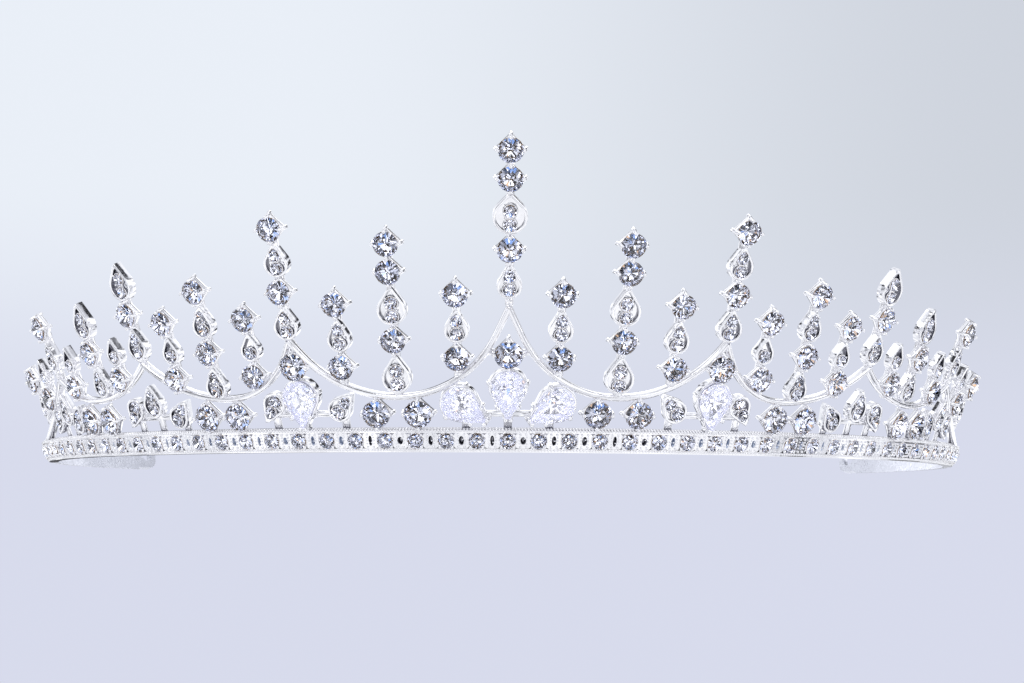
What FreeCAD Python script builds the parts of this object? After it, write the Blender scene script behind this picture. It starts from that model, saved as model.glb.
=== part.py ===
import FreeCAD, Part
import math
import os
import Sketcher
from FreeCAD import Placement, Rotation, Vector

# Bridal tiara, millimetres.  +Z is up and the front faces -Y.  The origin is the centre of
# the head circle, in the plane that the rail's flat underside stands on.
#
# The whole front lies on a cone that opens upwards.  A place on it is given by an angle
# round the head (0 at the front centre, positive towards +X) and a height along the slope,
# measured from the line through the rail's stones.

doc = FreeCAD.newDocument("BridalTiara")
sheet = doc.addObject("Spreadsheet::Sheet", "Sizes")

SIZES = {
    # head circle and rail
    "railRadius": 72.5,        # to the middle of the rail's thickness, at the stone line
    "leanAngle": 21.3,         # how far the front leans outwards
    "stoneLineZ": 1.75,        # height of the rail's stone line above the underside
    "railTop": 1.5,            # rail's top edge above the stone line, along the slope
    "railDepth": 1.3,
    "lipHeight": 0.4,
    "channelDepth": 0.35,
    "railPitch": 3.3,          # degrees from one rail stone to the next
    "railStones": 51,
    "bezelRadius": 1.3,
    "bezelProud": 0.1,         # bezel front ahead of the rail's lips
    "seatDepth": 1.0,
    # back band and its end rings
    "bandSweep": 34.0,
    "bandTop": 1.1,
    "bandDepth": 1.0,
    "ringRadius": 2.7,
    "ringHole": 1.5,
    "ringReach": 3.4,          # band end to ring centre
    # wires and castings
    "castDepth": 1.3,
    "spineWidth": 1.1,
    "spineDepth": 0.45,
    "swagFace": 0.8,
    "swagDepth": 1.4,
    "apexSlope": 62.0,         # steepest slope of a swag, where two meet
    "tieHeight": 3.6,          # of the bar that ties a gallery casting's pieces together
    "tieRatio": 0.8,           # a cross bar's height over the spine's width
    "uprightFoot": 0.5,        # where a gallery upright starts, inside the rail's edge
    "sideBarHeight": 12.3,     # bar that holds the centre gallery stone between the swags
    "sideBarReach": 3.2,
    # claw settings and stones
    "plateReach": 2.35,        # centre of a spire setting to its corner
    "galleryPlateReach": 2.5,
    "prongRadius": 0.38,
    "prongProud": 0.95,        # prong tip ahead of the plate
    "girdleProud": 0.55,       # girdle of a claw-set stone ahead of its plate
    "clawRatio": 1.08,         # claw's distance from the centre over the stone's radius
    "collarRatio": 0.9,        # collar under a claw-set stone over the stone's radius
    "collarProud": 0.165,      # that collar's front ahead of the plate
    "roundStoneRadius": 1.75,
    "galleryStoneRadius": 1.95,
    "smallStoneRadius": 0.9,
    "railStoneRadius": 1.15,
    "pavilionRatio": 0.72,     # pavilion depth over stone radius
    "crownRatio": 0.3,
    "tableRatio": 0.58,
    # drop plaques
    "recessDepth": 0.45,
    "rimWidth": 0.38,
    "smallSeatRadius": 1.05,
    "smallGirdleInset": 0.1,   # collars and girdles of small stones behind the rim's front
    "smallStepRatio": 0.93,    # two small stones' spacing over their collar's diameter
    "lowSeatRatio": 0.3,       # how far the lowest collar keeps inside the rim, over its width
    "recessRims": 3.0,         # rim widths that the recess is shorter than the plaque
    "tipWidth": 0.3,
    # pear stones
    "pearWidth": 4.8,
    "pearHeight": 6.8,
    "pearDepth": 1.7,
    "pearCrown": 0.35,         # front of a pear stone ahead of a round stone's girdle
    "pearRim": 0.28,
    # stacking of a spire
    "roundStep": 3.9,          # between two claw settings
    "roundHalf": 1.95,         # a claw setting's half height where a plaque meets it
    "stackGap": 0.1,
    "footWidth": 1.0,
    "stemOverlap": 0.3,        # how far a spire's stem reaches into its lowest piece
}

for row, (alias, value) in enumerate(SIZES.items(), start=1):
    sheet.set(f"A{row}", alias)
    sheet.set(f"B{row}", str(value))
    sheet.setAlias(f"B{row}", alias)
doc.recompute()


def size(alias):
    return float(getattr(sheet, alias))


LEAN = size("leanAngle")
OUTWARD = Rotation(Vector(1, 0, 0), 90)      # turns a primitive's axis to the front, -Y

# Width, height and stones of each plaque.
PLAQUES = {
    "large": (4.7, 5.6, 2),
    "tall": (4.1, 5.5, 2),
    "peak": (3.6, 4.8, 2),
    "short": (3.4, 4.8, 2),
    "small": (3.0, 4.1, 1),
}

# Each spire from the middle outwards: angle, height of its top piece, and its pieces from
# the top down.
SPIRES = {
    "spire_centre": (0.0, 40.5, ("round", "round", "large", "round", "short")),
    "spire_short_1": (5.15, 20.7, ("round", "short", "round")),
    "spire_tall_1": (11.45, 27.8, ("round", "round", "tall", "round", "tall")),
    "spire_short_2": (17.1, 19.5, ("round", "short", "round")),
    "spire_peak_1": (22.6, 30.25, ("round", "peak", "round", "peak")),
    "spire_short_3": (27.1, 17.7, ("round", "small", "round")),
    "spire_tall_2": (32.25, 21.95, ("round", "short", "round", "short")),
    "spire_short_4": (37.3, 17.65, ("round", "small", "round")),
    "spire_peak_2": (42.0, 24.0, ("tall", "round", "peak")),
    "spire_short_5": (46.1, 13.9, ("small", "round")),
    "spire_tall_3": (50.2, 18.8, ("tall", "round", "short")),
    "spire_short_6": (55.5, 13.3, ("small", "round")),
    "spire_peak_3": (59.5, 18.6, ("round", "short")),
    "spire_short_7": (63.9, 12.0, ("small", "round")),
    "spire_short_8": (68.0, 11.0, ("round", "small")),
}

# Swags from the middle outwards: the apex, low point and next apex as (angle, height).
SWAGS = {
    "swag_1": ((0.0, 18.7), (11.45, 6.15), (22.6, 14.3)),
    "swag_2": ((22.6, 14.3), (30.7, 6.15), (42.0, 11.85)),
    "swag_3": ((42.0, 11.85), (51.6, 6.7), (59.5, 10.4)),
    "swag_4": ((59.5, 10.4), (78.0, 1.2), (79.0, 1.2)),
}

# Pieces between the rail and the swags: kind, angle, height and turn, where a positive turn
# leans the point away from the centre.
GALLERY_CENTRE = (
    ("gallery", 0.0, 12.3, 0),
    ("pear", 0.0, 6.6, 180),
    ("pear", 4.45, 4.75, 236),
    ("pear", -4.45, 4.75, -236),
)
GALLERY_ROUNDS = ((9.4, 3.9), (13.85, 3.9), (30.0, 3.7), (34.05, 3.7), (50.2, 3.7), (54.2, 3.9))
GALLERY_CLUSTERS = {
    "gallery_cluster_1": (
        ("short", 17.6, 4.9, -42), ("pear", 22.1, 5.35, 180),
        ("short", 25.7, 4.7, 148), ("gallery", 22.3, 10.75, 0),
    ),
    "gallery_cluster_2": (
        ("short", 38.1, 4.3, -38), ("peak", 42.0, 6.2, 0), ("short", 45.4, 4.5, 148),
    ),
    "gallery_cluster_3": (
        ("short", 57.7, 4.3, -34), ("peak", 60.7, 5.8, 0), ("short", 63.9, 4.1, 140),
    ),
}

SIDES = (("left", -1), ("right", 1))
OVERRUN = 2.0       # a swag's outline runs this far past its apex before it is trimmed
WALL_TOP = 26.0     # top of the wall that the swags are trimmed to, along the slope
BLOCK_DEPTH = 5.0   # depth of the block that trims the castings to the rail's top edge
SHEET_DEPTH = 12.0  # half depth of the blank that a swag is cut from
CURTAIN_DROP = 2.0  # how far a curtain hangs below the stone line
REACH = 4.5         # degrees that a casting spreads either side of its middle
PEAR_CLAWS = ((2.28, -1.6), (-2.28, -1.6), (1.15, 1.7), (-1.15, 1.7))   # across and up


def onCone(angle, height=0.0, turn=0.0, outward=0.0):
    """Placement on the cone: local X runs round the head, local Z up the slope."""
    radius = size("railRadius")
    foot = Placement(Vector(0, -radius, size("stoneLineZ")), Rotation(Vector(1, 0, 0), LEAN))
    slide = Placement(Vector(0, -outward, height), Rotation(Vector(0, 1, 0), turn))
    return Placement(Vector(), Rotation(Vector(0, 0, 1), angle)) * foot * slide


def inPlane(angle, height):
    """A place on the cone seen square on from angle 0: distance sideways and up the slope."""
    lean = math.sin(math.radians(LEAN))
    radius = size("railRadius") + height * lean
    turn = math.radians(angle)
    return radius * math.sin(turn), height - radius * (1 - math.cos(turn)) * lean


# ---- small makers -------------------------------------------------------------------------

def make(kind, label, links, **bindings):
    """A document object with its sizes bound to the sheet."""
    item = doc.addObject(kind, label)
    item.Label = label
    for name, value in links.items():
        setattr(item, name, value)
    for name, formula in bindings.items():
        item.setExpression(name, formula)
    return item


def fuse(label, pieces):
    return make("Part::MultiFuse", label, {"Shapes": pieces})


def cut(label, base, tool):
    return make("Part::Cut", label, {"Base": base, "Tool": tool})


def place(master, placement):
    """One more copy of a master shape, as a casting from the same mould."""
    copy = doc.addObject("App::Link", master.Name + "_copy")
    copy.LinkedObject = master
    copy.Placement = placement
    return copy


def stone(label, radius):
    """Round stone whose girdle is at local Y = 0, with its table towards -Y."""
    pavilion = make("Part::Cone", label + "_pavilion", {"Radius1": 0}, Radius2=radius,
                    Height=f"{radius} * Sizes.pavilionRatio")
    pavilion.setExpression("Placement.Base.y", f"{radius} * Sizes.pavilionRatio")
    pavilion.Placement = Placement(Vector(), OUTWARD)
    crown = make("Part::Cone", label + "_crown", {}, Radius1=radius,
                 Radius2=f"{radius} * Sizes.tableRatio", Height=f"{radius} * Sizes.crownRatio")
    crown.Placement = Placement(Vector(), OUTWARD)
    return fuse(label, [pavilion, crown])


def clawSetting(label, reach, stoneMaster, stoneRadius):
    """Four-cornered plate with a claw at each corner, hollowed to the stone it holds."""
    plate = make("Part::Prism", label + "_plate", {"Polygon": 4}, Circumradius=reach,
                 Height="Sizes.castDepth")
    plate.Placement = Placement(Vector(), OUTWARD)
    plate.setExpression("Placement.Base.y", "Sizes.castDepth / 2")
    collar = make("Part::Cylinder", label + "_collar", {},
                  Radius=f"{stoneRadius} * Sizes.collarRatio",
                  Height="Sizes.castDepth + Sizes.collarProud")
    collar.Placement = Placement(Vector(), OUTWARD)
    collar.setExpression("Placement.Base.y", "Sizes.castDepth / 2")
    pieces = [plate, collar]
    for corner in range(4):
        angle = math.radians(90 * corner)
        across, up = round(math.cos(angle)), round(math.sin(angle))
        claw = make("Part::Cylinder", f"{label}_claw_{corner + 1}", {}, Radius="Sizes.prongRadius",
                    Height="Sizes.castDepth + Sizes.prongProud")
        claw.Placement = Placement(Vector(), OUTWARD)
        claw.setExpression("Placement.Base.x", f"{stoneRadius} * Sizes.clawRatio * {across}")
        claw.setExpression("Placement.Base.y", "Sizes.castDepth / 2")
        claw.setExpression("Placement.Base.z", f"{stoneRadius} * Sizes.clawRatio * {up}")
        pieces.append(claw)
    seat = place(stoneMaster, Placement())
    seat.setExpression("Placement.Base.y", "-Sizes.castDepth / 2 - Sizes.girdleProud")
    return cut(label, fuse(label + "_blank", pieces), seat)


def dropPrism(label, width, height, depth, back):
    """Drop outline as a prism, point up: a round bottom and two sides tangent to it."""
    radius = width / 2
    centre = radius - height / 2
    reach = height / 2 - centre
    lean = math.asin(radius / reach)
    belly = make("Part::Cylinder", label + "_belly", {"Radius": radius, "Height": depth})
    belly.Placement = Placement(Vector(0, back, centre), OUTWARD)
    point = make("Part::Wedge", label + "_point", {})
    half = radius * math.cos(lean)
    tip = size("tipWidth") / 2
    point.Xmin, point.Xmax = -half, half
    point.X2min, point.X2max = -tip, tip
    point.Ymin, point.Ymax = radius * math.sin(lean), reach
    point.Zmin, point.Zmax = 0, depth
    point.Z2min, point.Z2max = 0, depth
    point.Placement = Placement(Vector(0, back, centre), OUTWARD)
    return fuse(label, [belly, point])


def plaqueStoneHeights(height, count):
    """Heights of the stones inside a plaque, from its middle."""
    seat = size("smallSeatRadius")
    lowest = seat + size("rimWidth") * size("lowSeatRatio") - height / 2
    return [lowest + step * 2 * seat * size("smallStepRatio") for step in range(count)]


def plaque(label, width, height, stones, stoneMaster):
    """Drop-shaped plaque with a raised rim, a recessed floor and collared stones."""
    depth = size("castDepth")
    rim = size("rimWidth")
    outer = dropPrism(label + "_outer", width, height, depth, depth / 2)
    floor = size("recessDepth") - depth / 2
    recess = dropPrism(label + "_recess", width - 2 * rim, height - size("recessRims") * rim,
                       depth, floor)
    dish = cut(label + "_dish", outer, recess)
    collars = []
    seats = []
    girdle = size("smallGirdleInset") - depth / 2
    for number, z in enumerate(plaqueStoneHeights(height, stones), start=1):
        collar = make("Part::Cylinder", f"{label}_collar_{number}", {},
                      Radius="Sizes.smallSeatRadius",
                      Height="Sizes.castDepth - Sizes.smallGirdleInset")
        collar.Placement = Placement(Vector(0, 0, z), OUTWARD)
        collar.setExpression("Placement.Base.y", "Sizes.castDepth / 2")
        collars.append(collar)
        seats.append(place(stoneMaster, Placement(Vector(0, girdle, z), Rotation())))
    blank = fuse(label + "_blank", [dish] + collars)
    tool = seats[0] if len(seats) == 1 else fuse(label + "_seats", seats)
    return cut(label, blank, tool)


# ---- masters ------------------------------------------------------------------------------

railStone = stone("master_rail_stone", "Sizes.railStoneRadius")
roundStone = stone("master_round_stone", "Sizes.roundStoneRadius")
galleryStone = stone("master_gallery_stone", "Sizes.galleryStoneRadius")
smallStone = stone("master_small_stone", "Sizes.smallStoneRadius")
clawMaster = clawSetting("master_round_setting", "Sizes.plateReach", roundStone,
                         "Sizes.roundStoneRadius")
galleryMaster = clawSetting("master_gallery_setting", "Sizes.galleryPlateReach", galleryStone,
                            "Sizes.galleryStoneRadius")
plaqueMasters = {}
for kind, (width, height, stones) in PLAQUES.items():
    plaqueMasters[kind] = plaque("master_plaque_" + kind, width, height, stones, smallStone)

pearFront = size("castDepth") / 2 + size("girdleProud") + size("pearCrown")
pearStone = dropPrism("master_pear_stone", size("pearWidth"), size("pearHeight"),
                      size("pearDepth"), size("pearDepth") - pearFront)


def pearSetting(label):
    """Drop-shaped cup with four claws round a pear stone."""
    width = size("pearWidth") + 2 * size("pearRim")
    height = size("pearHeight") + 2 * size("pearRim")
    cup = dropPrism(label + "_cup", width, height, size("castDepth"), size("castDepth") / 2)
    pieces = [cup]
    for number, (x, z) in enumerate(PEAR_CLAWS, start=1):
        claw = make("Part::Cylinder", f"{label}_claw_{number}", {}, Radius="Sizes.prongRadius",
                    Height="Sizes.castDepth + Sizes.prongProud")
        claw.Placement = Placement(Vector(x, size("castDepth") / 2, z), OUTWARD)
        pieces.append(claw)
    return cut(label, fuse(label + "_blank", pieces), pearStone)


pearMaster = pearSetting("master_pear_setting")
doc.recompute()

stoneGroups = {
    "rail_stones": [], "spire_round_stones": [], "plaque_stones": [],
    "gallery_round_stones": [], "pear_stones": [],
}


def layStones(kind, placement):
    """Adds the stones of one setting to their group."""
    claw = Placement(Vector(0, -size("castDepth") / 2 - size("girdleProud"), 0), Rotation())
    if kind == "round":
        stoneGroups["spire_round_stones"].append(place(roundStone, placement * claw))
    elif kind == "gallery":
        stoneGroups["gallery_round_stones"].append(place(galleryStone, placement * claw))
    elif kind == "pear":
        stoneGroups["pear_stones"].append(place(pearStone, placement))
    else:
        girdle = size("smallGirdleInset") - size("castDepth") / 2
        for z in plaqueStoneHeights(*PLAQUES[kind][1:]):
            seat = Placement(Vector(0, girdle, z), Rotation())
            stoneGroups["plaque_stones"].append(place(smallStone, placement * seat))


def masterOf(kind):
    if kind in PLAQUES:
        return plaqueMasters[kind]
    return {"round": clawMaster, "gallery": galleryMaster, "pear": pearMaster}[kind]


# ---- swags --------------------------------------------------------------------------------

def halfSwag(run, rise):
    """Bend radius, end slope and straight length of half a swag, from low point to apex."""
    slope = math.radians(size("apexSlope"))
    radius = (run * math.sin(slope) - rise * math.cos(slope)) / (1 - math.cos(slope))
    straight = (run - radius * math.sin(slope)) / math.cos(slope)
    if radius <= 0 or straight < 0:
        radius = (run * run + rise * rise) / (2 * rise)
        slope = 2 * math.atan2(rise, run)
        straight = 0.0
    return radius, slope, straight


def swagRise(run, spanRun, spanRise):
    """Height of a half swag above its low point, at a distance run from it."""
    radius, slope, straight = halfSwag(spanRun, spanRise)
    bend = radius * math.sin(slope)
    if run <= bend:
        return radius - math.sqrt(radius * radius - run * run)
    return radius * (1 - math.cos(slope)) + (run - bend) * math.tan(slope)


def halfSpan(low, end):
    """Run and rise from a swag's low point to one of its ends."""
    run, level = inPlane(abs(end[0] - low[0]), end[1])
    return run, level - low[1]


def swagHeight(angle):
    """Height along the slope of the swag's middle line at an angle."""
    lean = math.sin(math.radians(LEAN))
    for apex, low, nextApex in SWAGS.values():
        if apex[0] <= abs(angle) <= nextApex[0]:
            end = apex if abs(angle) < low[0] else nextApex
            turn = math.radians(abs(angle) - low[0])
            height = low[1]
            for _ in range(4):
                radius = size("railRadius") + height * lean
                rise = swagRise(abs(radius * math.sin(turn)), *halfSpan(low, end))
                height = low[1] + rise + radius * (1 - math.cos(turn)) * lean
            return height
    return size("railTop")


def halfOutline(side, low, end, curtain):
    """Face of half a swag, X along and Z up from its low point: the ribbon's own outline,
    or a curtain that hangs from the ribbon's upper edge."""
    radius, slope, straight = halfSwag(*halfSpan(low, end))
    half = size("swagFace") / 2
    centre = Vector(0, 0, radius)

    def at(reach, angle):
        return centre + Vector(side * reach * math.sin(angle), 0, -reach * math.cos(angle))

    outer, inner = radius + half, radius - half
    past = straight + OVERRUN
    along = Vector(side * math.cos(slope), 0, math.sin(slope)) * past
    upper = [
        Part.LineSegment(at(inner, slope) + along, at(inner, slope)).toShape(),
        Part.Arc(at(inner, slope), at(inner, slope / 2), at(inner, 0)).toShape(),
    ]
    if curtain:
        corner = at(inner, slope) + along
        depth = Vector(0, 0, -low[1] - CURTAIN_DROP)
        below = Vector(corner.x, 0, depth.z)
        edges = [Part.LineSegment(at(inner, 0), depth).toShape(),
                 Part.LineSegment(depth, below).toShape(),
                 Part.LineSegment(below, corner).toShape()]
    else:
        edges = [Part.LineSegment(at(inner, 0), at(outer, 0)).toShape(),
                 Part.Arc(at(outer, 0), at(outer, slope / 2), at(outer, slope)).toShape(),
                 Part.LineSegment(at(outer, slope), at(outer, slope) + along).toShape(),
                 Part.LineSegment(at(outer, slope) + along, at(inner, slope) + along).toShape()]
    return Part.Face(Part.Wire(upper + edges))


def coneSector(start, end, depth, low, high):
    """Piece of the leaning wall between two angles, its depth centred on the cone."""
    at = onCone(0)
    corners = [Vector(0, -depth / 2, low), Vector(0, depth / 2, low),
               Vector(0, depth / 2, high), Vector(0, -depth / 2, high)]
    points = [at.multVec(corner) for corner in corners]
    face = Part.Face(Part.makePolygon(points + points[:1]))
    face.rotate(Vector(), Vector(0, 0, 1), start)
    return face.revolve(Vector(), Vector(0, 0, 1), end - start)


def swagShape(side, apex, low, nextApex, curtain, depth, bottom):
    """Both halves of a swag, pushed through the cone's wall and trimmed to its sector."""
    whole = None
    for end in (apex, nextApex):
        if end[1] <= low[1]:
            continue
        direction = side if end[0] > low[0] else -side
        blank = halfOutline(direction, low, end, curtain).extrude(
            Vector(0, 2 * SHEET_DEPTH, 0))
        blank.translate(Vector(0, -SHEET_DEPTH, 0))
        whole = blank if whole is None else whole.fuse(blank)
    whole.Placement = onCone(side * low[0], low[1])
    start, finish = sorted((side * apex[0], side * nextApex[0]))
    return whole.common(coneSector(start, finish, depth, bottom, WALL_TOP)).removeSplitter()


def shapeNode(label, shape):
    item = doc.addObject("Part::Feature", label)
    item.Label = label
    item.Shape = shape
    return item


nodes = []
swags = {}
curtains = {}
for name, (apex, low, nextApex) in SWAGS.items():
    for sideName, side in SIDES:
        label = f"{name}_{sideName}"
        ribbon = swagShape(side, apex, low, nextApex, False, size("swagDepth"), size("railTop"))
        swags[label] = shapeNode(label, ribbon)
        nodes.append(swags[label])
        curtain = swagShape(side, apex, low, nextApex, True, 4 * size("swagDepth"), 0)
        curtains[label] = shapeNode(label + "_curtain", curtain)
doc.recompute()


def near(pieces, angle):
    """Those of the swags, or of their curtains, that pass within a few degrees of an angle."""
    found = []
    for name, (apex, low, nextApex) in SWAGS.items():
        for sideName, side in SIDES:
            start, finish = sorted((side * apex[0], side * nextApex[0]))
            if start - REACH <= angle <= finish + REACH:
                found.append(pieces[f"{name}_{sideName}"])
    return found


def trimmed(label, body, tools):
    """The body cut back to the faces of the pieces it is soldered to."""
    for number, tool in enumerate(tools, start=1):
        last = number == len(tools)
        body = cut(label if last else f"{label}_cut_{number}", body, tool)
    return body


# ---- spires -------------------------------------------------------------------------------

def halfHeight(kind):
    return size("roundHalf") if kind == "round" else PLAQUES[kind][1] / 2


def stackHeights(top, kinds):
    """Heights of a spire's pieces: each one touches the next."""
    heights = [top]
    for upper, lower in zip(kinds, kinds[1:]):
        step = halfHeight(upper) + halfHeight(lower) + size("stackGap")
        if upper == "round" and lower == "round":
            step = size("roundStep")
        heights.append(heights[-1] - step)
    return heights


def spire(label, angle, top, kinds):
    """Stack of settings and plaques on one spine, standing on the swag below it."""
    where = onCone(angle)
    heights = stackHeights(top, kinds)
    pieces = []
    for kind, height in zip(kinds, heights):
        local = Placement(Vector(0, 0, height), Rotation())
        pieces.append(place(masterOf(kind), local))
        layStones(kind, where * local)
    foot = swagHeight(angle)
    spine = make("Part::Box", label + "_spine", {}, Length="Sizes.spineWidth",
                 Width="Sizes.spineDepth")
    spine.Height = heights[0] - foot
    spine.Placement = Placement(Vector(0, 0, foot), Rotation())
    spine.setExpression("Placement.Base.x", "-Sizes.spineWidth / 2")
    spine.setExpression("Placement.Base.y", "Sizes.castDepth / 2 - Sizes.spineDepth")
    pieces.append(spine)
    gap = heights[-1] - halfHeight(kinds[-1]) - foot
    if gap > 0:
        stem = make("Part::Box", label + "_stem", {"Height": gap + size("stemOverlap")},
                    Length="Sizes.footWidth", Width="Sizes.castDepth")
        stem.Placement = Placement(Vector(0, 0, foot), Rotation())
        stem.setExpression("Placement.Base.x", "-Sizes.footWidth / 2")
        stem.setExpression("Placement.Base.y", "-Sizes.castDepth / 2")
        pieces.append(stem)
    body = fuse(label + "_body", pieces)
    body.Placement = where
    nodes.append(trimmed(label, body, near(curtains, angle)))


for name, (angle, top, kinds) in SPIRES.items():
    if angle == 0:
        spire(name, angle, top, kinds)
        continue
    for sideName, side in SIDES:
        spire(f"{name}_{sideName}", side * angle, top, kinds)
doc.recompute()


# ---- rail, back band and end rings --------------------------------------------------------

def originPlane(body, role):
    for feature in body.Origin.OriginFeatures:
        if feature.Role == role:
            return feature
    raise ValueError(role)


def leaningSketch(body, name, height, outward):
    """Sketch on the leaning front: X round the head, Y up the slope."""
    sketch = body.newObject("Sketcher::SketchObject", name)
    sketch.AttachmentSupport = [(originPlane(body, "XZ_Plane"), "")]
    sketch.MapMode = "FlatFace"
    foot = Placement(Vector(0, size("stoneLineZ"), size("railRadius")),
                     Rotation(Vector(1, 0, 0), LEAN))
    sketch.AttachmentOffset = foot * Placement(Vector(0, height, outward), Rotation())
    return sketch


def profileSketch(body, name, points):
    """Closed outline across the wall: X outwards from the head's axis, Y up."""
    sketch = body.newObject("Sketcher::SketchObject", name)
    sketch.AttachmentSupport = [(originPlane(body, "YZ_Plane"), "")]
    sketch.MapMode = "FlatFace"
    count = len(points)
    for number, point in enumerate(points):
        following = points[(number + 1) % count]
        sketch.addGeometry(Part.LineSegment(Vector(*point, 0), Vector(*following, 0)))
    for number in range(count):
        sketch.addConstraint(Sketcher.Constraint("Coincident", number, 2, (number + 1) % count, 1))
    return sketch


def wallPoint(inward, height):
    """Point of the leaning wall's section, in the YZ plane."""
    point = onCone(0, height, 0, -inward).Base
    return (point.y, point.z)


def underside(inward):
    """Point of the section on the flat underside, at a depth in the wall."""
    lean = math.radians(LEAN)
    height = -(size("stoneLineZ") + inward * math.sin(lean)) / math.cos(lean)
    return wallPoint(inward, height)


def wallBody(label, section, sweep, before, turn):
    """Body whose section is turned about the head's axis."""
    body = doc.addObject("PartDesign::Body", label)
    body.Label = label
    profile = profileSketch(body, label + "_section", section)
    ring = body.newObject("PartDesign::Revolution", label + "_wall")
    ring.Profile = profile
    ring.ReferenceAxis = (originPlane(body, "Z_Axis"), [""])
    ring.Type = "TwoAngles"
    ring.Angle = sweep
    ring.Angle2 = before
    body.Placement = Placement(Vector(), Rotation(Vector(0, 0, 1), turn))
    doc.recompute()
    return body


lastStone = size("railPitch") * (size("railStones") - 1) / 2
railEnd = lastStone + size("railPitch") / 2


def baseRail():
    """Leaning strip with a channel in its front and a collared seat for each stone."""
    half = size("railDepth") / 2
    lip = size("lipHeight")
    floor = size("channelDepth") - half
    top = size("railTop")
    bottom = -top + lip
    section = [underside(half), underside(-half), wallPoint(-half, bottom), wallPoint(floor, bottom),
               wallPoint(floor, top - lip), wallPoint(-half, top - lip), wallPoint(-half, top),
               wallPoint(half, top)]
    body = wallBody("base_rail", section, 2 * lastStone + size("railPitch") / 2,
                    size("railPitch") / 2, -lastStone)
    collar = leaningSketch(body, "collar_outline", 0, -floor)
    collar.addGeometry(Part.Circle(Vector(), Vector(0, 0, 1), size("bezelRadius")))
    collar.addConstraint(Sketcher.Constraint("Coincident", 0, 3, -1, 1))
    index = collar.addConstraint(Sketcher.Constraint("Radius", 0, size("bezelRadius")))
    collar.setExpression(f"Constraints[{index}]", "Sizes.bezelRadius")
    pad = body.newObject("PartDesign::Pad", "collar")
    pad.Profile = collar
    pad.setExpression("Length", "Sizes.channelDepth + Sizes.bezelProud")
    seat = leaningSketch(body, "seat_outline", 0, half + size("bezelProud"))
    seat.addGeometry(Part.Circle(Vector(), Vector(0, 0, 1), size("railStoneRadius")))
    seat.addConstraint(Sketcher.Constraint("Coincident", 0, 3, -1, 1))
    index = seat.addConstraint(Sketcher.Constraint("Radius", 0, size("railStoneRadius")))
    seat.setExpression(f"Constraints[{index}]", "Sizes.railStoneRadius")
    pocket = body.newObject("PartDesign::Pocket", "seat")
    pocket.Profile = seat
    pocket.setExpression("Length", "Sizes.seatDepth")
    doc.recompute()
    solid = pad.Shape.Volume
    if not pocket.Shape.Volume < solid:
        raise RuntimeError("the seat cuts nothing")
    pattern = body.newObject("PartDesign::PolarPattern", "seats")
    pattern.Originals = [pad, pocket]
    pattern.Axis = (originPlane(body, "Z_Axis"), [""])
    pattern.setExpression("Angle", "Sizes.railPitch * (Sizes.railStones - 1)")
    pattern.setExpression("Occurrences", "Sizes.railStones")
    body.Tip = pattern
    doc.recompute()
    return body


def backBand(label, turn):
    """Plain strip that carries on behind the rail's end."""
    half = size("bandDepth") / 2
    top = size("bandTop")
    section = [underside(half), underside(-half), wallPoint(-half, top), wallPoint(half, top)]
    return wallBody(label, section, size("bandSweep"), 0, turn)


def endRing(label, side):
    """Flat ring for a ribbon or hair grip, on a short tab that meets the band's end."""
    body = doc.addObject("PartDesign::Body", label)
    body.Label = label
    depth = size("bandDepth")
    reach = size("ringReach")
    outline = body.newObject("Sketcher::SketchObject", label + "_outline")
    outline.AttachmentSupport = [(originPlane(body, "XZ_Plane"), "")]
    outline.MapMode = "FlatFace"
    outline.addGeometry(Part.Circle(Vector(), Vector(0, 0, 1), size("ringRadius")))
    outline.addConstraint(Sketcher.Constraint("Coincident", 0, 3, -1, 1))
    index = outline.addConstraint(Sketcher.Constraint("Radius", 0, size("ringRadius")))
    outline.setExpression(f"Constraints[{index}]", "Sizes.ringRadius")
    disc = body.newObject("PartDesign::Pad", label + "_disc")
    disc.Profile = outline
    disc.setExpression("Length", "Sizes.bandDepth")
    tab = body.newObject("Sketcher::SketchObject", label + "_tab_outline")
    tab.AttachmentSupport = [(originPlane(body, "XZ_Plane"), "")]
    tab.MapMode = "FlatFace"
    low = -size("ringRadius")
    corners = [Vector(0, low, 0), Vector(-side * reach, low, 0),
               Vector(-side * reach, 0, 0), Vector(0, 0, 0)]
    for number, corner in enumerate(corners):
        tab.addGeometry(Part.LineSegment(corner, corners[(number + 1) % 4]))
    for number in range(4):
        tab.addConstraint(Sketcher.Constraint("Coincident", number, 2, (number + 1) % 4, 1))
    neck = body.newObject("PartDesign::Pad", label + "_tab")
    neck.Profile = tab
    neck.setExpression("Length", "Sizes.bandDepth")
    punch = body.newObject("Sketcher::SketchObject", label + "_hole_outline")
    punch.AttachmentSupport = [(originPlane(body, "XZ_Plane"), "")]
    punch.MapMode = "FlatFace"
    punch.addGeometry(Part.Circle(Vector(), Vector(0, 0, 1), size("ringHole")))
    punch.addConstraint(Sketcher.Constraint("Coincident", 0, 3, -1, 1))
    index = punch.addConstraint(Sketcher.Constraint("Radius", 0, size("ringHole")))
    punch.setExpression(f"Constraints[{index}]", "Sizes.ringHole")
    hole = body.newObject("PartDesign::Pocket", label + "_hole")
    hole.Profile = punch
    hole.Type = "ThroughAll"
    hole.Midplane = True
    doc.recompute()
    if not hole.Shape.Volume < neck.Shape.Volume:
        raise RuntimeError("the ring's hole cuts nothing")
    lean = math.radians(LEAN)
    bottom = -(size("stoneLineZ") - depth / 2 * math.sin(lean)) / math.cos(lean)
    end = side * (railEnd + size("bandSweep"))
    body.Placement = onCone(end, bottom + size("ringRadius"), 0, -depth / 2) * Placement(
        Vector(side * reach, 0, 0), Rotation())
    return body


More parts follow.
